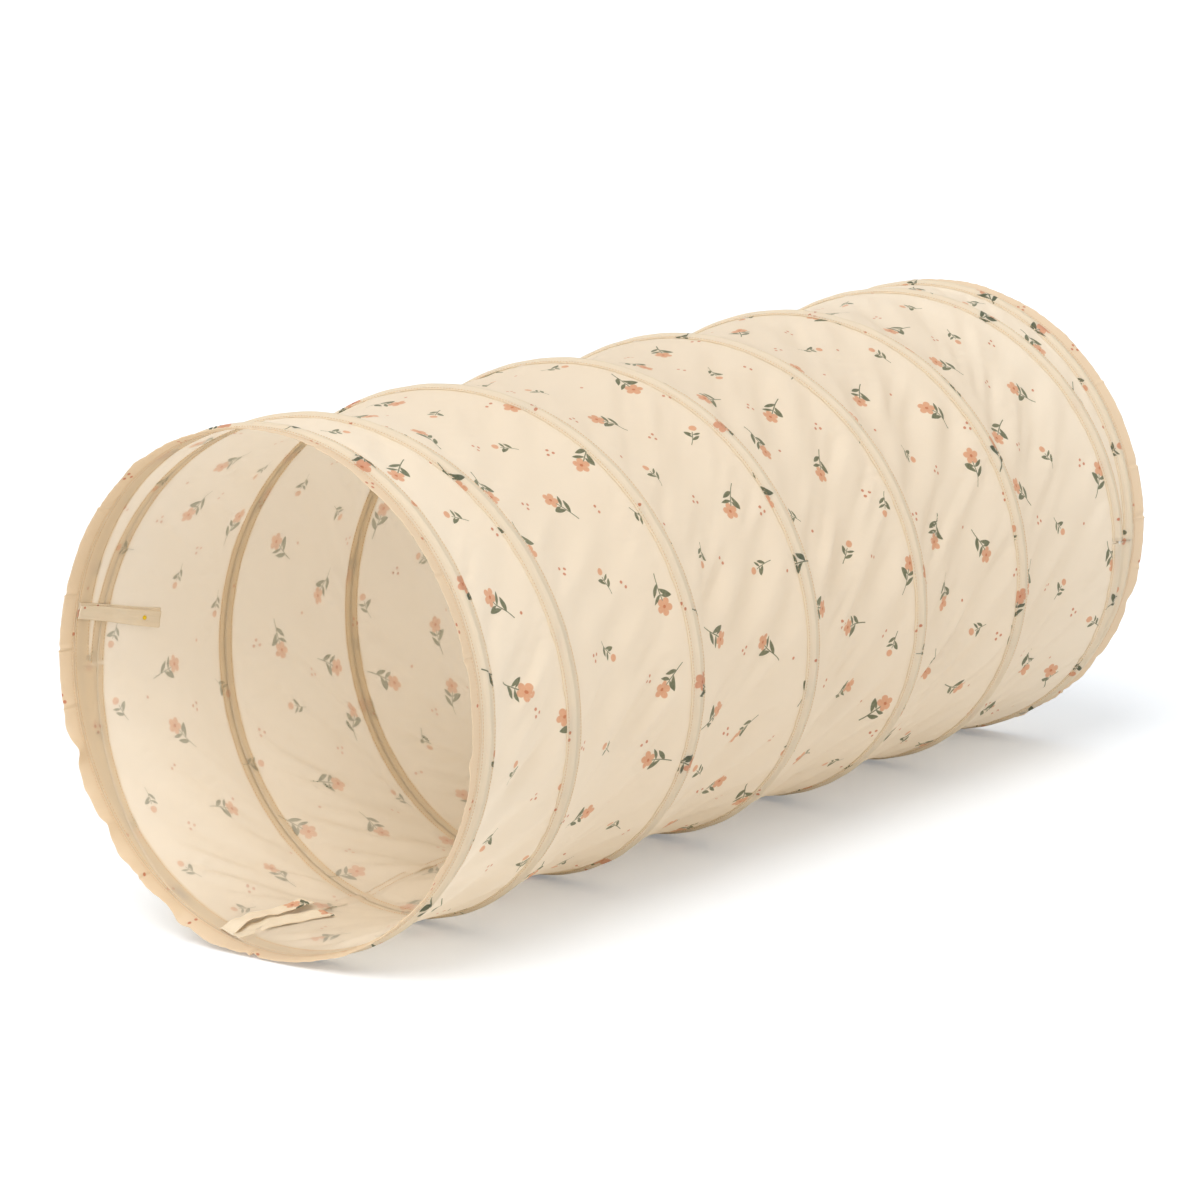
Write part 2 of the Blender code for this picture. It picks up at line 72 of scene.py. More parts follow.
WIRE = 0.0015  # the wire's own radius
ARCH = 0.0036  # how far to each side a tape arches over its wire
CLOSE_PITCH = 0.0036  # of a mouth's ring
OVERLAP = math.radians(41)  # of the ring's two ends
FORK = EXIT + FULL * (TAPE - 0.0015) / PITCH  # where the first open turn's tape parts from the mouth's
TIP = EXIT - FULL * (COIL_START - RING_OUT) / PITCH  # where the first wall strip begins
SEAM = math.radians(10.4)  # middle of the lap seam
LAP = 0.0191  # half of the angle that laps
DRAW_IN = 0.009
CLOTH = 0.0003
TURN_IN = 0.0036  # a tape's folded edge
STITCH_IN = 0.0019  # from a tape's edge to its stitches
STITCH_LIFT = 0.0002  # of thread over a tape's foot
STITCH = 0.0031
TIE_LENGTH = 0.1105
TIE_WIDTH = 0.018
TIE_THICK = 0.0007
TIE_STITCH = 0.0026
HEM_GAP = 0.0002  # between a mouth's casing and its hem
HEM_REACH = 0.0158  # of the cloth, which is a little uneven
HEM_WIDTH = 0.0161  # from which its stitches take their place
HEM_SEAM = 0.16  # share of the hem's width at which it is sewn
LEAN = 0.0086  # of the near mouth, growing from one place along the tunnel over a stretch
LEAN_FROM = -0.40
LEAN_OVER = 0.14


def turn_x(angle):
    """Place of the open helix along the tunnel, by its angle since the near ring's lowest point."""
    return COIL_START + PITCH * (angle - EXIT) / FULL


# Meshes
def place(x, radius, angle):
    """Points on the tube, from arrays of place along, distance from the axis and angle."""
    x, radius, angle = np.broadcast_arrays(x, radius, angle)
    return np.stack([x, radius * np.sin(angle), RADIUS - radius * np.cos(angle)], -1)


def linked(name, data):
    """A new object in the scene."""
    thing = bpy.data.objects.new(name, data)
    bpy.context.scene.collection.objects.link(thing)
    return thing


def new_mesh(name, points, faces, uv, material):
    """A smooth mesh. Each uv row is a place along and round the cloth, and maybe one across it."""
    mesh = bpy.data.meshes.new(name)
    mesh.from_pydata(np.asarray(points, float).tolist(), [], np.asarray(faces).tolist())
    if uv is not None:
        uv = np.asarray(uv, np.float32)
        corners = np.zeros(len(mesh.loops), np.int32)
        mesh.loops.foreach_get("vertex_index", corners)
        for layer_name, columns in (("cloth", (0, 1)), ("across", (2, 1)))[:uv.shape[1] - 1]:
            layer = mesh.uv_layers.new(name=layer_name)
            layer.data.foreach_set("uv", uv[:, columns][corners].ravel())
    mesh.shade_smooth()
    mesh.materials.append(material)
    return linked(name, mesh)


def grid_faces(rows, columns, close_rows=False, close_columns=False):
    """Quads of a grid of points, which may close on itself either way."""
    r = np.arange(rows if close_rows else rows - 1)
    c = np.arange(columns if close_columns else columns - 1)
    r, c = np.meshgrid(r, c, indexing="ij")
    r2, c2 = (r + 1) % rows, (c + 1) % columns
    quads = np.stack([r * columns + c, r2 * columns + c, r2 * columns + c2, r * columns + c2], -1)
    return quads.reshape(-1, 4)


def moved(piece, change):
    """The piece, with its points passed through a function."""
    flat = np.zeros(len(piece.data.vertices) * 3)
    piece.data.vertices.foreach_get("co", flat)
    piece.data.vertices.foreach_set("co", change(flat.reshape(-1, 3)).ravel())
    piece.data.update()
    return piece


def settle(piece):
    """The near mouth leans a little as it stands: its +Y side sits further in."""
    def lean(points):
        points[:, 0] += LEAN * points[:, 1] / RADIUS * np.clip((LEAN_FROM - points[:, 0]) / LEAN_OVER, 0, 1)
        return points
    return moved(piece, lean)


def end_for_end(piece):
    """Turn a near-mouth piece half a turn about the vertical, to the far mouth."""
    return moved(piece, lambda points: points * (-1, -1, 1))


def waves(count, seed, low, high, lean=None, spread=0.35):
    """Directions, lengths and phases of a few waves in the cloth, the same each time."""
    rng = np.random.default_rng(seed)
    turn = rng.uniform(0, FULL, count) if lean is None else lean + rng.normal(0, spread, count)
    length = np.exp(rng.uniform(math.log(low), math.log(high), count))
    return np.stack([np.cos(turn) / length, np.sin(turn) / length, rng.uniform(0, 1, count)], -1)


def ripple(x, s, family):
    """Sum of a family of waves at places x along and s round the tube, about -1 to 1."""
    total = 0
    for fx, fs, phase in family:
        total = total + np.sin(FULL * (fx * x + fs * s + phase))
    return total / math.sqrt(len(family))


BROAD = waves(7, 3, 0.042, 0.085, lean=math.radians(48), spread=0.17)
PATCHES = waves(6, 11, 0.09, 0.24)
TENSION = waves(7, 5, 0.020, 0.034, lean=math.radians(50), spread=0.10)
CROSSING = waves(6, 8, 0.012, 0.026, lean=math.radians(118), spread=0.30)
PUCKER = waves(6, 17, 0.010, 0.021, lean=math.radians(76), spread=0.2)


def creases(x, s, family):
    """Narrow crests, as stiff thin cloth folds, from a family of waves."""
    raised = ripple(x, s, family)
    return np.sign(raised) * np.abs(raised) ** 1.5


# Cloth wall
def draw_in(x, start, end):
    """How far the taut cloth comes in between two turns, towards the axis."""
    share = np.clip((x - start) / np.maximum(end - start, 1e-6), 0, 1)
    tautness = np.clip((end - start) / (PITCH - TAPE), 0, 1)
    return DRAW_IN * tautness ** 2 * 4 * share * (1 - share)


def wall_relief(x, angle, start, end):
    """How far the cloth leaves its smooth drawn-in form, towards the axis."""
    s = angle * RADIUS
    free = np.clip((end - start) / 0.05, 0, 1)
    share = np.clip((x - start) / np.maximum(end - start, 1e-6), 0, 1)
    held = np.clip(4 * share * (1 - share) / 0.5, 0, 1) ** 0.8
    near_edge = np.exp(-np.minimum(x - start, end - x).clip(0) / 0.012)
    facing = 0.58 + 0.42 * np.cos(angle - math.radians(285))
    patch = np.clip(0.55 + 0.6 * ripple(x, s, PATCHES), 0.08, 1.35)
    low_side = 0.6 + 0.4 * (0.5 + 0.5 * np.cos(angle))
    amount = patch * (0.55 + 0.5 * facing) * low_side * (0.75 + 0.35 * (x + 0.6) / 1.2)
    relief = 0.0025 * held * (0.35 + 0.65 * facing) * ripple(x, s, BROAD)
    relief += 0.0015 * held * amount * creases(x, s, TENSION)
    relief += 0.00018 * held * patch * creases(x, s, CROSSING)
    relief += 0.0008 * near_edge * held ** 0.3 * facing * np.clip(patch, 0.3, 1) * ripple(x, s, PUCKER)
    return relief * free


def panel_edges(number, angle):
    """Edges of a wall strip at an angle since the near ring, the last one for a whole tube."""
    before = angle + (number - 2) * FULL
    return np.maximum(turn_x(before), RING_OUT), np.minimum(turn_x(before + FULL), -RING_OUT)


def held_edges(number, angle):
    """Where a wall strip leaves the tapes that hold it."""
    before = angle + (number - 2) * FULL
    low = np.maximum(turn_x(before), COIL_START) + HALF_TAPE
    return low, np.minimum(turn_x(before + FULL), COIL_END) - HALF_TAPE


def panel_radius(number, x, angle):
    """Distance of a wall strip from the axis, with its draw-in, folds and lap.

    It draws in less below the bottom ties, where it rests on the floor.
    """
    held_low, held_high = held_edges(number, angle)
    resting = 1 - 0.55 * np.exp(-((angle % FULL + 0.6) % FULL - 0.8) ** 2 / 0.18) * (x < -0.36)
    depth = draw_in(x, held_low, held_high) * resting + wall_relief(x, angle, held_low, held_high)
    lapped = np.clip((angle - (SEAM - LAP + FULL - 0.004)) / 0.006, 0, 1)
    return WALL - depth - 0.0011 * lapped


def wall_panel(number, printed, back):
    """One strip of the wall: printed cloth outside, its plain back inside."""
    rows, columns = 561, 49
    start = TIP + 0.004 if number == 1 else SEAM - LAP
    end = FULL - TIP - 0.004 if number == TURNS + 1 else SEAM + LAP + FULL
    angle = np.linspace(start, end, rows)[:, None]
    low, high = panel_edges(number, angle)
    x = low + (high - low) * np.linspace(0, 1, columns)[None, :]
    radius = panel_radius(number, x, angle)
    held_low, held_high = held_edges(number, angle)
    uv = np.stack(np.broadcast_arrays(x, angle * RADIUS, np.minimum(x - held_low, held_high - x)), -1)
    outer, inner = place(x, radius, angle), place(x, radius - CLOTH, angle)
    piece = thin_solid(f"cloth_wall_{number}", outer, inner, uv, printed)
    piece.data.materials.append(back)
    side = np.zeros(len(piece.data.polygons), np.int32)
    side[:(rows - 1) * 2 * columns] = np.tile(np.arange(2 * columns) >= columns - 1, rows - 1)
    piece.data.polygons.foreach_set("material_index", side)
    return piece


# Casing tapes
# Shares of a tape's width at which it has points, closest at its edges and over the wire
PROFILE = np.array([0, 0.012, 0.04, 0.09, 0.16, 0.24, 0.31, 0.36, 0.405, 0.44, 0.47, 0.5, 0.53, 0.56,
                    0.595, 0.64, 0.69, 0.76, 0.84, 0.91, 0.96, 0.988, 1.0])


def bulge(x, wires):
    """Height of a tape over its foot where it passes over wires."""
    tallest = 0
    for wire in wires:
        off = np.abs(x - wire) / ARCH
        tallest = np.maximum(tallest, np.clip(1.12 * np.exp(-(off ** 2.6)) - 0.06, 0, 1))
    return tallest


def tape(name, angles, low, high, wires, material, seed, closed=False):
    """A tape folded in at both edges, sewn down there and arched over the wire."""
    rows = len(angles)
    angle = angles[:, None]
    x = low[:, None] + (high - low)[:, None] * PROFILE[None, :]
    s = angle * RADIUS
    edge = np.minimum(x - low[:, None], high[:, None] - x)
    gather = waves(5, seed, 0.007, 0.018, lean=ROUND, spread=0.2)
    fold = 0.00035 * np.clip(1 - np.abs(edge - TURN_IN) / 0.0030, 0, 1)
    pucker = 0.00022 * np.clip(1 - edge / 0.006, 0, 1) * ripple(x, s, gather)
    over = bulge(x, [w[:, None] for w in wires])
    sewn = -0.00030 * np.exp(-((edge - STITCH_IN) / 0.0007) ** 2)
    rise = 0.00020 * ripple(x, s, waves(4, seed + 1, 0.03, 0.08, lean=ROUND, spread=0.3))
    top = FOOT + 0.0001 + fold + pucker + sewn + (BULGE - FOOT - 0.0003 + rise.clip(-1, 0.0003)) * over
    top = top - 0.00045 * np.exp(-(edge / 0.00035) ** 2)
    wander = 0.00045 * ripple(x, s, waves(4, seed + 2, 0.02, 0.07, lean=ROUND, spread=0.1))
    x = x + wander * np.where(PROFILE < 0.5, 1, -1) * np.clip(1 - edge / 0.005, 0, 1)
    under = (WALL + 0.0003) * (1 - over) + (top - 0.0005) * over
    uv = np.stack(np.broadcast_arrays(x, s, PROFILE), -1)
    outer, inner = place(x, top, angle), place(x, np.minimum(under, top - 0.00025), angle)
    return thin_solid(name, outer, inner, uv, material, closed=closed)


def stitch_rows(name, rows, material, step=STITCH):
    """Rows of lock stitches, each a short raised thread.

    A row is points on the cloth, and the side that the cloth faces at each.
    """
    shape = np.array([(0, 1, 2), (0, 2, 3), (0, 3, 4), (0, 4, 1), (5, 2, 1), (5, 3, 2), (5, 4, 3), (5, 1, 4)])
    rng = np.random.default_rng(41)
    points, faces, done = [], [], 0
    for path, normal in rows:
        gone = np.concatenate([[0], np.cumsum(np.linalg.norm(np.diff(path, axis=0), axis=1))])
        count = int(gone[-1] / step)
        middle = (np.arange(count) + 0.5) * gone[-1] / count + rng.normal(0, 0.00007, count)

        def at(where, what):
            return np.stack([np.interp(where, gone, what[:, k]) for k in range(3)], -1)

        start, end = at(middle - step * 0.41, path), at(middle + step * 0.41, path)
        up = at(middle, normal)
        side = np.cross(end - start, up)
        side /= np.linalg.norm(side, axis=1)[:, None]
        centre = at(middle, path) + side * rng.normal(0, 0.00006, count)[:, None]
        ring = [start, centre + side * 0.00030, centre + up * 0.00036, centre - side * 0.00030,
                centre - up * 0.0002, end]
        points.append(np.stack(ring, 1).reshape(-1, 3))
        faces.append((np.arange(count)[:, None, None] * 6 + shape[None]).reshape(-1, 3) + done)
        done += count * 6
    return new_mesh(name, np.concatenate(points), np.concatenate(faces), None, material)


def round_row(angles, x, radius, outward=1.0):
    """A stitch row that goes round the tube."""
    middle = place(x, 0.0, angles)
    path = place(x, radius, angles)
    normal = (path - middle) / np.linalg.norm(path - middle, axis=1)[:, None] * outward
    return path, normal


def along_row(x, angle, radius, outward=1.0):
    """A stitch row that goes along the tube."""
    return round_row(np.full(len(x), angle), x, radius, outward)


def thin_solid(name, outer, inner, uv, material, closed=False):
    """One closed piece between an outer and an inner grid of the same size."""
    rows = len(outer)
    loop = np.concatenate([outer, inner[:, ::-1]], 1)
    columns = loop.shape[1]
    faces = [grid_faces(rows, columns, close_rows=closed, close_columns=True)]
    piece_uv = np.concatenate([uv, uv[:, ::-1]], 1).reshape(-1, uv.shape[-1])
    if not closed:
        half = columns // 2
        for row in (0, rows - 1):
            near = row * columns + np.arange(half)
            far = row * columns + columns - 1 - np.arange(half)
            cap = np.stack([near[:-1], near[1:], far[1:], far[:-1]], -1)
            faces.append(cap if row == 0 else cap[:, ::-1])
    return new_mesh(name, loop.reshape(-1, 3), np.concatenate(faces), piece_uv, material)


# Mouths
# Bends in a hem, and small pleats where it is gathered: angle and width in degrees, depth in metres
KINKS = ((70.0, 2.4, 0.0075), (75.5, 2.0, -0.0015), (62.0, 2.2, -0.0020), (52.0, 2.0, 0.0050),
         (45.0, 2.4, -0.0030), (30.0, 3.0, 0.0030), (24.0, 2.0, -0.0045), (16.0, 5.0, -0.0035),
         (143.0, 3.0, -0.0020), (212.0, 4.0, 0.0015), (254.0, 1.3, 0.0018), (277.0, 1.8, 0.0024),
         (303.0, 3.0, 0.0020), (338.0, 3.0, -0.0015), (3.0, 1.2, 0.0030))
PLEATS = ((105.0, 0.35, 0.0012), (92.3, 0.3, 0.0016), (79.5, 0.4, 0.0010), (128.0, 0.4, 0.0010),
          (254.4, 0.35, 0.0012), (236.0, 0.35, 0.0008), (196.0, 0.4, 0.0008), (318.0, 0.4, 0.0010),
          (38.0, 0.4, 0.0012), (4.0, 0.5, 0.0022))
SWELL = waves(6, 71, 0.07, 0.16, lean=ROUND, spread=0.2)
RUFFLE = waves(7, 73, 0.010, 0.024, lean=ROUND, spread=0.25)
UNEVEN = waves(5, 77, 0.03, 0.12, lean=ROUND, spread=0.1)


def hem_wave(angle, out, crumple):
    """How far the hem leaves the tube, outwards, at a share of its width from its sewn edge."""
    s = angle * RADIUS
    wave = 0.0022 * out ** 1.6 + 0.0012 * np.sin(angle) ** 2 * out ** 1.5
    wave = wave + 0.0006 * np.sin(5 * angle) * np.cos(angle / 2) ** 2 * out
    wave = wave + 0.00035 * out ** 1.5 * ripple(out * 0.02, s, SWELL)
    wave = wave + 0.00016 * (0.4 + 0.6 * out) * ripple(out * 0.02, s, RUFFLE)
    for middle, wide, deep in KINKS:
        off = (np.degrees(angle) - middle) / wide
        wave = wave - crumple * deep * out ** 1.3 * np.exp(-off ** 2)
    for middle, wide, deep in PLEATS:
        off = (np.degrees(angle) - middle) / wide
        wave = wave + deep * np.clip(out * 3, 0, 1) * (np.exp(-off ** 2) - 0.7 * np.exp(-(off / 2.2 - 0.8) ** 2))
    return wave


def mouth_hem(name, material, crumple):
    """The near mouth's folded hem, with plump edges and a pressed seam line."""
    rows = 1440
    angle = np.linspace(0, FULL, rows, endpoint=False)[:, None]
    share = np.array([0, 0.08, 0.16, 0.24, 0.36, 0.5, 0.64, 0.78, 0.9, 0.97, 1.0])[None, :]
    s = angle * RADIUS
    reach = HEM_REACH + 0.0003 * ripple(0.0, s, UNEVEN).clip(-1.2, 0.1)
    x = RING_OUT - HEM_GAP - reach * share
    wave = hem_wave(angle, share, crumple)
    plump = 0.00055 * np.sqrt(np.clip(1 - share ** 6, 0, 1)) + 0.00012
    seam = 0.00030 * np.exp(-((share - HEM_SEAM) / 0.05) ** 2)
    middle = WALL + 0.0003 + wave
    outer = place(x, np.minimum(middle + plump - seam, RADIUS / np.maximum(np.cos(angle), 0.5)), angle)
    inner = place(x, middle - plump + seam, angle)
    uv = np.stack(np.broadcast_arrays(x, s), -1)
    return thin_solid(name, outer[:, ::-1], inner[:, ::-1], uv[:, ::-1], material, closed=True)


def ring_wires(angle):
    """Places of the wires below a mouth's casing: the ring, its overlapping tail and the leaving turn."""
    ring = COIL_START + CLOSE_PITCH * ((angle - EXIT) % FULL / FULL - 1)
    tail = ring - np.where(angle < EXIT, CLOSE_PITCH * np.clip((angle - EXIT + OVERLAP) / 0.03, 0, 1), 0)
    leaving = np.where((angle > EXIT) & (angle < FORK), turn_x(angle), ring)
    return ring, tail, leaving


def mouth_casing(name, material, seed):
    """The near mouth's tape, wider where the first open turn leaves it."""
    before, after = np.linspace(0, FORK - 0.012, 88), np.linspace(FORK, FULL, 330)[:-1]
    rows = np.concatenate([before, [FORK - 0.006], after])
    leaving = turn_x(rows) + HALF_TAPE
    high = np.where(rows < FORK - 0.008, np.maximum(RING_IN, leaving), RING_IN)
    low = np.full(len(rows), RING_OUT)
    return tape(name, rows, low, high, ring_wires(rows), material, seed, closed=True)


# Wire
def wire_piece(name, angles, x, material):
    """A round wire through places on the tube."""
    path = place(x, WIRE_LINE, angles)
    outward = path - place(x, 0.0, angles)
    outward /= np.linalg.norm(outward, axis=1)[:, None]
    ahead = np.gradient(path, axis=0)
    side = np.cross(ahead, outward)
    side /= np.linalg.norm(side, axis=1)[:, None]
    turn = np.linspace(0, FULL, 8, endpoint=False)[None, :, None]
    points = path[:, None] + WIRE * (np.cos(turn) * outward[:, None] + np.sin(turn) * side[:, None])
    rows = len(path)
    faces = grid_faces(rows, 8, close_columns=True).tolist()
    faces += [list(range(8)), [rows * 8 - 1 - k for k in range(8)]]
    mesh = bpy.data.meshes.new(name)
    mesh.from_pydata(points.reshape(-1, 3).tolist(), [], faces)
    mesh.shade_smooth()
    mesh.materials.append(material)
    return linked(name, mesh)


# Ties
def wall_at(x, angle):
    """Distance of the near wall from the axis below the ties."""
    radius = np.full(len(x), WALL)
    past = angle > SEAM
    for number, turn, covers in ((1, 0.0, past), (2, 0.0, past), (1, FULL, ~past), (2, FULL, ~past)):
        low, high = panel_edges(number, angle + turn)
        there = covers & (x > low) & (x < high)
        radius = np.where(there, np.minimum(radius, panel_radius(number, x, angle + turn)), radius)
    return np.convolve(np.pad(radius, 5, mode="edge"), np.ones(11) / 11, "valid")


def tie_strip(name, stations, material, offset, splay, loose, seed):
    """A flat tape folded lengthwise, and its two rows of stitches.

    A station is a share along, an angle, a height over the cloth, a tilt and a share of the width.
    """
    stations = np.array(stations, float)
    rows, columns = 81, 27
    share = np.linspace(0, 1, rows)

    def eased(column):
        t = np.interp(share, stations[:, 0], stations[:, column])
        kernel = np.array([1, 4, 8, 10, 8, 4, 1]) / 36
        return np.convolve(np.pad(t, 3, mode="edge"), kernel, "valid")

    angle, height, tilt, wide = np.radians(eased(1)), eased(2), np.radians(eased(3)), eased(4) * TIE_WIDTH
    x = RING_OUT + 0.0008 + TIE_LENGTH * share
    middle = place(x, wall_at(x, angle) - height, angle)
    out = middle - place(x, 0.0, angle)
    out /= np.linalg.norm(out, axis=1)[:, None]
    ahead = np.gradient(middle, axis=0)
    ahead /= np.linalg.norm(ahead, axis=1)[:, None]
    flat = np.cross(ahead, out)
    flat /= np.linalg.norm(flat, axis=1)[:, None]
    across = np.cos(tilt)[:, None] * flat - np.sin(tilt)[:, None] * out
    face = np.cross(across, ahead)
    face *= np.sign((face * out).sum(1))[:, None]
    u = np.linspace(-0.5, 0.5, columns)
    crown = 0.00018 * np.cos(u * FULL * 1.5) + 0.0009 * (u * 2) ** 2 * splay
    for fold in (-0.21, 0.13, 0.30):
        crown -= 0.00022 * np.exp(-((u - fold) / 0.035) ** 2)
    lips = 0.00016 * np.exp(-((np.abs(u) - 0.44) / 0.03) ** 2)
    sway = ripple(x[:, None], u[None] * TIE_WIDTH, waves(4, seed, 0.018, 0.05, lean=0.0, spread=0.5))
    bend = crown[None] + loose * sway
    centre = middle[:, None] + across[:, None] * (u[None, :, None] * wide[:, None, None])
    rim = np.clip((0.5 - np.abs(u)) / 0.02, 0.25, 1)[None]
    half = (TIE_THICK / 2 * rim + lips[None])[..., None]
    outer = centre + face[:, None] * (bend[..., None] + half)
    inner = centre + face[:, None] * (bend[..., None] - half)
    uv = np.stack(np.broadcast_arrays(x[:, None] + offset[0], u[None] * TIE_WIDTH + offset[1]), -1)
    piece = thin_solid(name, outer, inner, uv, material)
    shown, facing = (outer, face) if seed % 2 else (inner, -face)
    return piece, [(shown[:, column], facing) for column in (1, columns - 2)]


# Materials
class Nodes:
    """Short calls for building a material's node tree."""

    def __init__(self, tree):
        self.tree = tree

    def add(self, kind, **settings):
        node = self.tree.nodes.new(kind)
        for key, value in settings.items():
            setattr(node, key, value)
        return node

    def feed(self, socket, value):
        if isinstance(value, bpy.types.NodeSocket):
            self.tree.links.new(value, socket)
        else:
            socket.default_value = value

    def math(self, operation, *values, clamp=False):
        node = self.add("ShaderNodeMath", operation=operation, use_clamp=clamp)
        for socket, value in zip(node.inputs, values):
            self.feed(socket, value)
        return node.outputs[0]

    def vector(self, operation, *values):
        node = self.add("ShaderNodeVectorMath", operation=operation)
        for socket, value in zip(node.inputs, values):
            self.feed(socket, value)
        return node.outputs["Value" if operation in ("LENGTH", "DOT_PRODUCT") else "Vector"]

    def split(self, vector):
        node = self.add("ShaderNodeSeparateXYZ")
        self.feed(node.inputs[0], vector)
        return node.outputs[0], node.outputs[1], node.outputs[2]

    def join(self, x, y, z=0.0):
        node = self.add("ShaderNodeCombineXYZ")
        for socket, value in zip(node.inputs, (x, y, z)):
            self.feed(socket, value)
        return node.outputs[0]

    def mix(self, share, one, two):
        node = self.add("ShaderNodeMix", data_type="RGBA")
        self.feed(node.inputs[0], share)
        self.feed(node.inputs[6], one)
        self.feed(node.inputs[7], two)
        return node.outputs[2]

    def noise(self, vector, scale, detail=2.0, rough=0.5):
        node = self.add("ShaderNodeTexNoise")
        self.feed(node.inputs["Vector"], vector)
        node.inputs["Scale"].default_value = scale
        node.inputs["Detail"].default_value = detail
        node.inputs["Roughness"].default_value = rough
        return node.outputs["Fac"]

    def turned(self, vector, angle):
        node = self.add("ShaderNodeVectorRotate", rotation_type="Z_AXIS")
        self.feed(node.inputs["Vector"], vector)
        self.feed(node.inputs["Angle"], angle)
        return node.outputs[0]

    def inside(self, distance, reach, soft=0.10):
        """1 where distance is below reach, with a thin soft rim, both in millimetres."""
        gap = self.math("SUBTRACT", reach, distance)
        return self.math("ADD", self.math("DIVIDE", gap, 2 * soft), 0.5, clamp=True)


# The print's grid, a dot's radius and the soft rim of blossoms and dots, in millimetres
CELL = 79.0
DOT = 1.6
RIM = 0.16


def cell_places(n, place_mm, jitter, seed):
    """Local place in a half-drop grid of cells, in millimetres, and three numbers for each cell."""
    x, y, _ = n.split(place_mm)
    column = n.math("FLOOR", n.math("DIVIDE", x, CELL))
    drop = n.math("MULTIPLY", n.math("PINGPONG", column, 1.0), CELL / 2)
    row = n.math("FLOOR", n.math("DIVIDE", n.math("ADD", y, drop), CELL))
    white = n.add("ShaderNodeTexWhiteNoise", noise_dimensions="3D")
    n.feed(white.inputs["Vector"], n.join(column, row, seed))
    rgb = n.add("ShaderNodeSeparateColor")
    n.feed(rgb.inputs[0], white.outputs["Color"])
    one, two, three = rgb.outputs[0], rgb.outputs[1], rgb.outputs[2]
    local_x = n.math("SUBTRACT", x, n.math("MULTIPLY", n.math("ADD", column, 0.5), CELL))
    local_y = n.math("SUBTRACT", n.math("ADD", y, drop), n.math("MULTIPLY", n.math("ADD", row, 0.5), CELL))
    local_x = n.math("SUBTRACT", local_x, n.math("MULTIPLY", n.math("SUBTRACT", one, 0.5), jitter))
    local_y = n.math("SUBTRACT", local_y, n.math("MULTIPLY", n.math("SUBTRACT", two, 0.5), jitter))
    return local_x, local_y, one, two, three


def leaf(n, x, y, root, lean, length, width):
    """A pointed leaf from a root on the stem, leaning by an angle from it."""
    dx, dy = n.math("SUBTRACT", x, root[0]), n.math("SUBTRACT", y, root[1])
    c, s = math.cos(lean), math.sin(lean)
    along = n.math("ADD", n.math("MULTIPLY", dy, c), n.math("MULTIPLY", dx, s))
    across = n.math("SUBTRACT", n.math("MULTIPLY", dx, c), n.math("MULTIPLY", dy, s))
    share = n.math("DIVIDE", along, length, clamp=True)
    reach = n.math("MULTIPLY", n.math("MULTIPLY", share, n.math("SUBTRACT", 1.0, share)), 4 * width)
    bend = n.math("MULTIPLY", share, n.math("MULTIPLY", share, 0.12 * length))
    off = n.math("ABSOLUTE", n.math("SUBTRACT", across, bend))
    return n.inside(off, n.math("SUBTRACT", reach, 0.12))


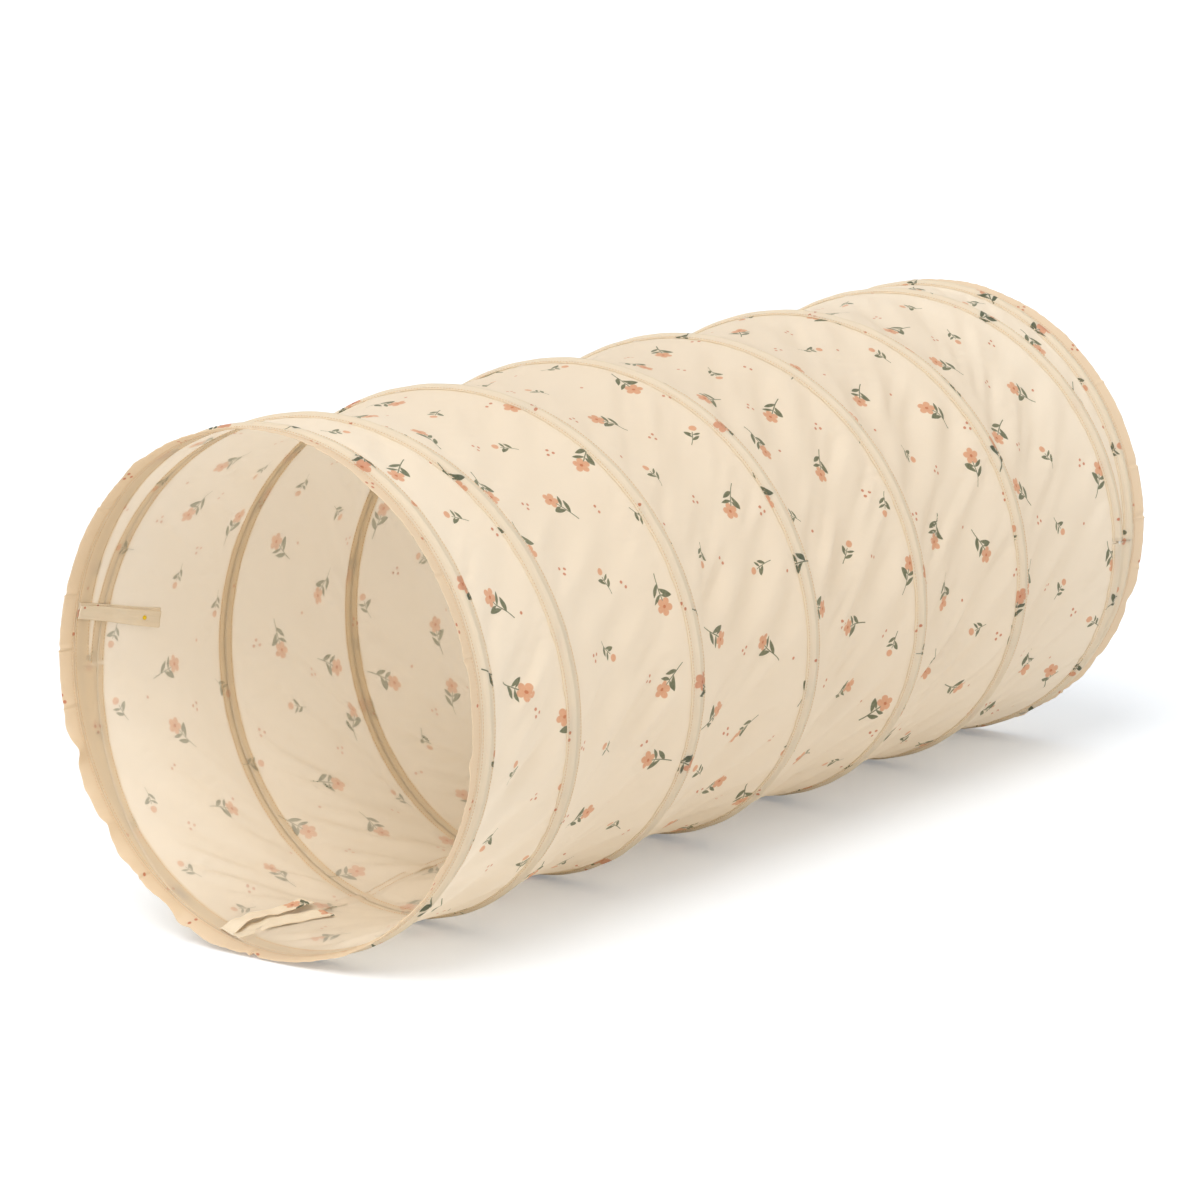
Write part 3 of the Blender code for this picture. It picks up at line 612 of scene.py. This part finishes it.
def print_group():
    """The printed pattern: small five-petalled blossoms, buds, and dots in twos and threes."""
    tree = bpy.data.node_groups.new("printed_sprigs", "ShaderNodeTree")
    tree.interface.new_socket("Place", in_out="INPUT", socket_type="NodeSocketVector")
    for name in ("Peach", "Green", "Heart"):
        tree.interface.new_socket(name, in_out="OUTPUT", socket_type="NodeSocketFloat")
    n = Nodes(tree)
    source, result = n.add("NodeGroupInput"), n.add("NodeGroupOutput")
    place_mm = n.vector("MULTIPLY", source.outputs[0], (1000, 1000, 0))
    x, y, _, _, three = cell_places(n, place_mm, jitter=20.0, seed=0.31)
    spot = n.turned(n.join(x, y), n.math("MULTIPLY", three, FULL))
    small = n.math("GREATER_THAN", n.math("FRACT", n.math("MULTIPLY", three, 7.3)), 0.62)
    spot = n.vector("MULTIPLY", spot, n.join(*[n.math("ADD", 0.78, n.math("MULTIPLY", small, 0.36))] * 3))
    x, y, _ = n.split(spot)

    # blossom, or a closed bud on the smaller sprigs
    head_x = n.math("SUBTRACT", x, 0.6)
    head_y = n.math("SUBTRACT", y, 8.5)
    away = n.vector("LENGTH", n.join(head_x, head_y))
    round_it = n.math("ARCTAN2", head_x, head_y)
    lobes = n.math("POWER", n.math("ABSOLUTE", n.math("COSINE", n.math("MULTIPLY", round_it, 2.5))), 0.55)
    petals = n.math("MULTIPLY_ADD", lobes, 3.3, 3.7)
    bud = n.math("MULTIPLY_ADD", n.math("COSINE", round_it), 1.5, 4.0)
    large = n.math("SUBTRACT", 1.0, small)
    reach = n.math("ADD", n.math("MULTIPLY", petals, large), n.math("MULTIPLY", bud, small))
    bloom = n.inside(away, reach, RIM)
    heart = n.math("MULTIPLY", n.inside(away, 1.3), large)
    rays = n.math("MULTIPLY", n.inside(away, 2.8), n.inside(n.math("MULTIPLY", lobes, 10.0), 1.8))
    heart = n.math("MAXIMUM", heart, n.math("MULTIPLY", rays, large))

    # stem and leaves
    curve = n.math("MULTIPLY", n.math("SINE", n.math("DIVIDE", y, 8.0)), 1.1)
    stem = n.inside(n.math("ABSOLUTE", n.math("SUBTRACT", x, curve)), 0.42)
    stem = n.math("MULTIPLY", stem, n.inside(n.math("ABSOLUTE", n.math("ADD", y, 6.5)), 10.5))
    green = n.math("MULTIPLY", stem, n.math("SUBTRACT", 1.0, bloom))
    for root, lean, length, width in (((-0.4, -5.5), 0.80, 12.5, 1.9), ((-0.6, -9.5), -0.75, 12.0, 2.0),
                                      ((0.0, -1.0), -1.05, 10.5, 1.6), ((0.2, -0.5), 1.15, 9.5, 1.5)):
        green = n.math("MAXIMUM", green, leaf(n, x, y, root, lean, length, width))
    bloom = n.math("MULTIPLY", bloom, n.math("SUBTRACT", 1.0, green))

    # dots between the sprigs
    shifted = n.vector("ADD", place_mm, (CELL / 2, 20.0, 0))
    x, y, one, two, _ = cell_places(n, shifted, jitter=30.0, seed=5.17)
    spot = n.turned(n.join(x, y), n.math("MULTIPLY", one, FULL))
    dots = n.inside(n.vector("LENGTH", n.vector("SUBTRACT", spot, (0.0, 3.4, 0.0))), DOT, RIM)
    for offset, least in (((3.4, -2.4, 0.0), 0.30), ((-3.3, -2.0, 0.0), 0.50)):
        dot = n.inside(n.vector("LENGTH", n.vector("SUBTRACT", spot, offset)), DOT, RIM)
        dots = n.math("MAXIMUM", dots, n.math("MULTIPLY", dot, n.math("GREATER_THAN", two, least)))
    for socket, value in zip(result.inputs, (bloom, green, n.math("MAXIMUM", heart, dots))):
        n.feed(socket, value)
    return tree


def srgb(red, green, blue):
    """A colour as it looks on screen, 0 to 255, in the linear numbers that nodes take."""
    def linear(value):
        value /= 255
        return value / 12.92 if value <= 0.04045 else ((value + 0.055) / 1.055) ** 2.4
    return (linear(red), linear(green), linear(blue), 1.0)


PRINT = print_group()
# Inks: output of the print, colour on the cloth, and colour in the light that comes through it
INKS = (("Peach", srgb(230, 172, 136), srgb(240, 190, 150)), ("Heart", srgb(206, 128, 94), srgb(222, 150, 112)),
        ("Green", srgb(58, 78, 52), srgb(112, 134, 84)))
INK_BEHIND = 0.72  # how much of an ink tints that light
WEFT, WARP = 0.00055, 0.00048  # spacing of the threads


def tape_painted_shade(n, ground, soft):
    """A tape's ground colour, with a painted shade line where the wire shows through it and a painted deeper
    tint at its folded edges.
    """
    across, _, _ = n.split(n.add("ShaderNodeUVMap", uv_map="across").outputs[0])
    beside = n.math("ABSOLUTE", n.math("MULTIPLY", n.math("SUBTRACT", across, 0.5), TAPE * 1000))
    # painted shade: a faint greenish grey line where the wire shows through the tape
    line = n.math("MULTIPLY", n.inside(beside, 1.1, 0.6), n.math("MULTIPLY_ADD", soft, 0.20, 0.05))
    ground = n.mix(line, ground, srgb(186, 186, 160))
    # painted light: a deeper orange tan tint at the folded edges, for light coming through more layers of cloth
    # there
    rim = n.math("MULTIPLY", n.math("SUBTRACT", 1.0, n.inside(beside, 9.3, 0.35)), 0.12)
    return n.mix(rim, ground, srgb(238, 200, 152))


def painted_band_shade(n, ground):
    """The ground colour of the wall's inner face, with painted shade where a tape sewn on behind it keeps light
    from coming through.
    """
    free, _, _ = n.split(n.add("ShaderNodeUVMap", uv_map="across").outputs[0])
    # painted shade: where a tape lies behind the inner face, a tan tint is mixed in
    sewn = n.inside(n.math("MULTIPLY", free, 1000.0), 0.0, 0.3)
    return n.mix(n.math("MULTIPLY", sewn, 0.42), ground, srgb(240, 214, 174))


def cloth_bump(n, there):
    """Crinkles, a fine unevenness and the weave."""
    u, v, _ = n.split(there)
    weft = n.math("SINE", n.math("MULTIPLY", u, FULL / WEFT))
    warp = n.math("SINE", n.math("MULTIPLY", v, FULL / WARP))
    crinkle = n.noise(n.vector("MULTIPLY", n.turned(there, 0.95), (1.0, 0.38, 1.0)), 70.0, 4.0, 0.6)
    fine = n.noise(n.add("ShaderNodeTexCoord").outputs["Object"], 240.0, 2.0, 0.5)
    height = n.math("MULTIPLY_ADD", crinkle, 0.30, n.math("MULTIPLY", fine, 0.06))
    height = n.math("MULTIPLY_ADD", n.math("MULTIPLY", weft, warp), 0.012, height)
    bump = n.add("ShaderNodeBump")
    bump.inputs["Strength"].default_value = 0.55
    bump.inputs["Distance"].default_value = 0.0012
    n.feed(bump.inputs["Height"], height)
    return bump.outputs[0]


def cloth_material(name, base, dull, through, clear, offset=(0.0, 0.0), ink=1.0, wire=False, band_shade=False):
    """Thin woven cloth: printed, a little crinkled, and lit from both sides.

    Its ground varies from base to dull, and a share of its light, tinted clear, comes through.
    """
    material = bpy.data.materials.new(name)
    material.use_nodes = True
    tree = material.node_tree
    tree.nodes.clear()
    n = Nodes(tree)
    uv = n.add("ShaderNodeUVMap", uv_map="cloth").outputs[0]
    there = n.vector("ADD", uv, (offset[0], offset[1], 0.0))
    printed = n.add("ShaderNodeGroup", node_tree=PRINT)
    n.feed(printed.inputs[0], there)
    soft = n.noise(there, 9.0, 3.0, 0.55)
    colour, seen_through = n.mix(soft, base, dull), clear
    worn = n.math("MULTIPLY_ADD", n.noise(there, 420.0, 2.0, 0.6), 0.35, 0.72)
    shade = n.math("MULTIPLY", worn, ink, clamp=True)
    # On tapes: painted shade over the wire, and a painted tint at the folded edges.
    if wire:
        colour = tape_painted_shade(n, colour, soft)
    # On the wall's inner face: painted shade where the tapes are sewn on behind it.
    if band_shade:
        colour = painted_band_shade(n, colour)
    for ink_name, tint, behind_tint in INKS:
        share = n.math("MULTIPLY", printed.outputs[ink_name], shade)
        colour = n.mix(share, colour, tint)
        seen_through = n.mix(n.math("MULTIPLY", share, INK_BEHIND), seen_through, behind_tint)
    normal = cloth_bump(n, there)
    shader = n.add("ShaderNodeBsdfPrincipled")
    n.feed(shader.inputs["Base Color"], colour)
    n.feed(shader.inputs["Roughness"], n.math("MULTIPLY_ADD", n.noise(there, 55.0, 2.0, 0.5), 0.22, 0.39))
    shader.inputs["Specular IOR Level"].default_value = 0.42
    shader.inputs["Sheen Weight"].default_value = 0.10
    shader.inputs["Sheen Roughness"].default_value = 0.4
    n.feed(shader.inputs["Normal"], normal)
    behind = n.add("ShaderNodeBsdfTranslucent")
    n.feed(behind.inputs["Color"], seen_through)
    n.feed(behind.inputs["Normal"], normal)
    both = n.add("ShaderNodeMixShader")
    both.inputs[0].default_value = through
    n.feed(both.inputs[1], shader.outputs[0])
    n.feed(both.inputs[2], behind.outputs[0])
    n.feed(n.add("ShaderNodeOutputMaterial").inputs[0], both.outputs[0])
    return material


def plain_material(name, colour, second, rough, metal=0.0, scale=60.0):
    """A material whose colour, gloss and surface vary a little over the piece."""
    material = bpy.data.materials.new(name)
    material.use_nodes = True
    n = Nodes(material.node_tree)
    shader = material.node_tree.nodes["Principled BSDF"]
    spot = n.add("ShaderNodeTexCoord").outputs["Object"]
    grain = n.noise(spot, scale, 3.0, 0.6)
    n.feed(shader.inputs["Base Color"], n.mix(grain, colour, second))
    n.feed(shader.inputs["Roughness"], n.math("MULTIPLY_ADD", grain, 0.2, rough - 0.1))
    shader.inputs["Metallic"].default_value = metal
    bump = n.add("ShaderNodeBump")
    bump.inputs["Distance"].default_value = 0.0002
    bump.inputs["Strength"].default_value = 0.5
    n.feed(bump.inputs["Height"], n.noise(spot, scale * 6, 2.0, 0.5))
    n.feed(shader.inputs["Normal"], bump.outputs[0])
    return material


PRINTED = cloth_material("cream_taffeta", srgb(252, 242, 226), srgb(250, 238, 220), 0.58, srgb(255, 250, 240))
# The inner face has a faded print, and painted shade where the tapes are sewn on behind it.
BACK = cloth_material("cream_taffeta_back", srgb(252, 243, 229), srgb(250, 239, 223), 0.58, srgb(255, 250, 241),
                      ink=0.26, band_shade=True)
# The tapes carry painted shade over the wire and a painted tint at their folded edges.
TAPE_CLOTH = cloth_material("tape_taffeta", srgb(250, 241, 224), srgb(247, 235, 215), 0.47, srgb(255, 246, 226),
                            offset=(0.031, 0.017), wire=True)
# The hem's ground is set darker than the wall's cloth: painted shade.
SHADED_HEM_CLOTH = cloth_material("hem_taffeta_shaded", srgb(241, 224, 199), srgb(236, 216, 188), 0.38, srgb(255, 240, 214),
                           offset=(0.012, 0.043))
TIE_CLOTH = cloth_material("tie_taffeta", srgb(254, 244, 222), srgb(252, 239, 213), 0.2, srgb(255, 226, 182),
                           offset=(0.022, 0.031))
THREAD = plain_material("cream_thread", srgb(250, 238, 216), srgb(232, 208, 172), 0.6, scale=900.0)
TAN_THREAD = plain_material("tan_thread", srgb(240, 208, 162), srgb(218, 174, 122), 0.6, scale=900.0)
# The wire is near white, lighter than steel: painted light, so that its shade seen through the tapes stays
# faint.
STEEL = plain_material("spring_steel", srgb(238, 237, 232), srgb(226, 225, 220), 0.5, 0.2)
CRIMP = plain_material("crimped_aluminium", srgb(200, 200, 202), srgb(170, 170, 174), 0.38, 1.0)
PIN = plain_material("yellow_enamel", srgb(238, 205, 30), srgb(226, 188, 18), 0.26)

# Camera
SENSOR = 36.0
FOCAL_SHARE = 5022.8 / 1200  # focal length over the frame's width
camera = linked("camera", bpy.data.cameras.new("camera"))
bpy.context.scene.camera = camera
camera.location = (-3.9209, -2.7152, 1.2019)
yaw, pitch = math.radians(35.1112), math.radians(-11.5147)
aim = Vector((math.cos(yaw) * math.cos(pitch), math.sin(yaw) * math.cos(pitch), math.sin(pitch)))
camera.rotation_mode = "QUATERNION"
camera.rotation_quaternion = aim.to_track_quat("-Z", "Y")
camera.data.sensor_width = SENSOR
camera.data.lens = SENSOR * FOCAL_SHARE
camera.data.clip_start = 0.05
camera.data.clip_end = 100.0

# Bodies
BODIES = ["near_end"] + [f"turn_{k}" for k in range(1, TURNS)] + ["far_end"]


def turn_ends(number, margin):
    """First and last angle of an open turn's tape, from seam to seam or fork, less a margin at each end.

    The margin is two numbers: one beside a fork, and one beside the seam.
    """
    beside_fork, beside_seam = margin
    first = FORK + beside_fork if number == 1 else (number - 1) * FULL + SEAM + beside_seam
    last = TURNS * FULL - FORK - beside_fork if number == TURNS else number * FULL + SEAM - beside_seam
    return first, last


def flatten(piece, index):
    """Ride with a folding body, with a mesh of its own."""
    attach(settle(piece), BODIES[index])
    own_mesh(piece)


def rigid(piece, body):
    """Ride with a body, and keep its shape."""
    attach(settle(piece), body)


# Wall panels
for number in range(1, TURNS + 2):
    panel = wall_panel(number, PRINTED, BACK)
    flatten(panel, number - 1)
    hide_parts(f"wall_panel_{number}")

# Casing tapes of the open turns
for number in range(1, TURNS + 1):
    first, last = turn_ends(number, (0.001, 0.001))
    angles = np.linspace(first, last, int(300 * (last - first) / FULL) + 1)
    middle = turn_x(angles)
    piece = tape(f"casing_tape_{number}", angles, middle - HALF_TAPE, middle + HALF_TAPE, [middle],
                 TAPE_CLOTH, 20 + number)
    flatten(piece, number)
    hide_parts(f"casing_turn_{number}")

# Wire in its casing
ring_angles = np.linspace(EXIT - FULL - OVERLAP, EXIT, 170)
ring_x = COIL_START + CLOSE_PITCH * (ring_angles - EXIT) / FULL
rigid(wire_piece("wire_near_ring", ring_angles, ring_x, STEEL), "near_end")
helix_angles = np.linspace(EXIT, TURNS * FULL - EXIT, 120 * TURNS + 1)
helix_wire = wire_piece("wire_open_turns", helix_angles, turn_x(helix_angles), STEEL)
flatten(helix_wire, 0)
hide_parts("coil_wire")
rigid(end_for_end(wire_piece("wire_far_ring", ring_angles, ring_x, STEEL)), "far_end")

# Mouths: casing, hem
CRUMPLE = {"near": 1.0, "far": 0.4}
for end in ("near", "far"):
    casing = mouth_casing(f"mouth_casing_{end}", TAPE_CLOTH, 51)
    hem = mouth_hem(f"mouth_hem_{end}", SHADED_HEM_CLOTH, CRUMPLE[end])
    if end == "far":
        end_for_end(casing)
        end_for_end(hem)
    rigid(casing, f"{end}_end")
    rigid(hem, f"{end}_end")
    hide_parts(f"{end}_end_casing")
    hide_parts(f"{end}_hem")

# Ties: body, splay, looseness, and stations of share along, angle, height, tilt and share of the width
TIES = {
    "left_tie_back": (
        "near_end", 0.0, 0.0002, ((0, 101.4, 0.0010, 0, 0.74), (0.3, 99.7, 0.0012, 0, 0.80),
                                  (0.75, 97.2, 0.0018, 0, 0.88), (1, 95.9, 0.0022, 1, 0.94))),
    "left_tie_front": (
        "near_end", 0.0, 0.0002, ((0, 101.0, 0.0026, 0, 0.70), (0.3, 99.3, 0.0028, 0, 0.77),
                                  (0.75, 96.7, 0.0036, 0, 0.84), (1, 95.3, 0.0040, -1, 0.88))),
    "bottom_tie_lower": (
        "bottom_tie_lower", 0.3, 0.0009, ((0, 12.2, 0.0012, 0, 0.8), (0.25, 12.0, 0.0017, 2, 0.9),
                                          (0.5, 10.8, 0.0020, 3, 0.95), (0.8, 8.6, 0.0022, 0, 0.95),
                                          (1, 6.6, 0.0024, 0, 0.95))),
    "bottom_tie_upper": (
        "bottom_tie_upper", 0.3, 0.0006, ((0, 14.2, 0.0030, 0, 0.8), (0.2, 15.0, 0.0062, -14, 0.85),
                                          (0.5, 14.5, 0.0066, -12, 0.85), (0.8, 13.4, 0.0054, -8, 0.8),
                                          (1, 12.7, 0.0044, -6, 0.8))),
}
for order, (name, (body, splay, loose, stations)) in enumerate(TIES.items()):
    offset = (0.020 * order - 0.050, 0.014)
    strip, rows = tie_strip(f"cloth_{name}", stations, TIE_CLOTH, offset, splay, loose, seed=90 + order)
    rigid(strip, body)
    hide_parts(name)
    thread = stitch_rows(f"stitches_{name}", rows, THREAD, step=TIE_STITCH)
    rigid(thread, body)

# Fastenings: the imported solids, moved with the cloth that they hold
for name, material, body, slot in (("tie_pin", PIN, "near_end", "pin_yellow"),
                                   ("near_ferrule", CRIMP, "near_end", "crimped_aluminium"),
                                   ("far_ferrule", CRIMP, "far_end", "crimped_aluminium")):
    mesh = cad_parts[name].data.copy()
    mesh.materials.clear()
    mesh.materials.append(material)
    piece = linked(f"visual_{name}", mesh)
    rigid(piece, body)
    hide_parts(name)

# Stitching
EDGE = HALF_TAPE - STITCH_IN
SUNK = 0.00005  # of thread past the wall's inner face
INNER = WALL - CLOTH - SUNK
for number in range(1, TURNS + 1):
    angles = np.linspace(*turn_ends(number, (0.002, 0.003)), 400)
    rows = [round_row(angles, turn_x(angles) + side, FOOT + STITCH_LIFT) for side in (-EDGE, EDGE)]
    rows += [round_row(angles, turn_x(angles) + side, INNER, -1.0) for side in (-EDGE, EDGE)]
    if number < TURNS:
        low, high = (float(edge) for edge in panel_edges(number + 1, np.float64(FULL + SEAM)))
        x = np.linspace(low + HALF_TAPE, high - HALF_TAPE, 90)
        for side in (-0.0135, 0.0135):
            inner = panel_radius(number + 1, x, FULL + SEAM + side) - CLOTH - SUNK
            rows.append(along_row(x, FULL + SEAM + side, inner, -1.0))
    flatten(stitch_rows(f"stitches_tape_{number}", rows, TAN_THREAD), number)
for end in ("near", "far"):
    angles = np.linspace(0.002, FULL - 0.002, 500)
    after = np.linspace(FORK + 0.01, FULL - 0.002, 450)
    before = np.linspace(0.002, FORK - 0.014, 120)
    leaving = np.maximum(RING_IN, turn_x(before) + HALF_TAPE) - STITCH_IN
    rows = []
    for radius, side in ((FOOT + STITCH_LIFT, 1.0), (INNER, -1.0)):
        rows += [round_row(angles, RING_OUT + STITCH_IN, radius, side),
                 round_row(after, RING_IN - STITCH_IN, radius, side),
                 round_row(before, leaving, radius, side)]
    hem_x = RING_OUT - HEM_GAP - HEM_WIDTH * HEM_SEAM
    hem_middle = WALL + 0.0003 + hem_wave(angles, HEM_SEAM, CRUMPLE[end])
    rows += [round_row(angles, hem_x, hem_middle + side * 0.0004, side) for side in (1.0, -1.0)]
    thread = stitch_rows(f"stitches_mouth_{end}", rows, TAN_THREAD)
    if end == "far":
        end_for_end(thread)
    rigid(thread, f"{end}_end")

# Floor and light
DARK, WHITE = (0, 0, 0, 1), (1, 1, 1, 1)
FLOOR_LIT, FLOOR_SEEN = (0.95, 0.95, 0.95, 1), (0.94, 0.95, 0.96, 1)
FLOOR_GLOW = (0.13, 0.16, 0.19, 1)  # for the camera alone: keeps the shadow pale and near grey
SKY_LOW, SKY_HIGH = (0.35, 0.335, 0.315, 1), (0.885, 0.89, 0.90, 1)
floor = linked("floor", bpy.data.meshes.new("floor"))
floor.data.from_pydata([(-30, -30, 0), (30, -30, 0), (30, 30, 0), (-30, 30, 0)], [], [(0, 1, 2, 3)])
ground = bpy.data.materials.new("studio_floor")
ground.use_nodes = True
n = Nodes(ground.node_tree)
matt = ground.node_tree.nodes["Principled BSDF"]
matt.inputs["Specular IOR Level"].default_value = 0.0
matt.inputs["Roughness"].default_value = 1.0
path = n.add("ShaderNodeLightPath")
n.feed(matt.inputs["Base Color"], n.mix(path.outputs["Is Camera Ray"], FLOOR_LIT, FLOOR_SEEN))
n.feed(matt.inputs["Emission Color"], n.mix(path.outputs["Is Camera Ray"], DARK, FLOOR_GLOW))
matt.inputs["Emission Strength"].default_value = 1.0
floor.data.materials.append(ground)

world = bpy.data.worlds.new("studio")
bpy.context.scene.world = world
world.use_nodes = True
n = Nodes(world.node_tree)
back = world.node_tree.nodes["Background"]
path = n.add("ShaderNodeLightPath")
seen = n.math("MAXIMUM", path.outputs["Is Camera Ray"], path.outputs["Is Glossy Ray"])
towards = n.vector("DOT_PRODUCT", n.add("ShaderNodeTexCoord").outputs["Generated"], (-0.48, 0.0, 0.88))
sky = n.mix(n.math("MULTIPLY_ADD", towards, 0.5, 0.5, clamp=True), SKY_LOW, SKY_HIGH)
n.feed(back.inputs["Color"], n.mix(seen, sky, WHITE))
back.inputs["Strength"].default_value = 1.0

key = linked("key", bpy.data.lights.new("key", "SUN"))
key.data.energy = 1.35
key.data.angle = math.radians(35)
key.rotation_mode = "QUATERNION"
key.rotation_quaternion = Vector((0.60, 0.14, -0.79)).to_track_quat("-Z", "Y")

bpy.context.scene.view_settings.view_transform = "Standard"
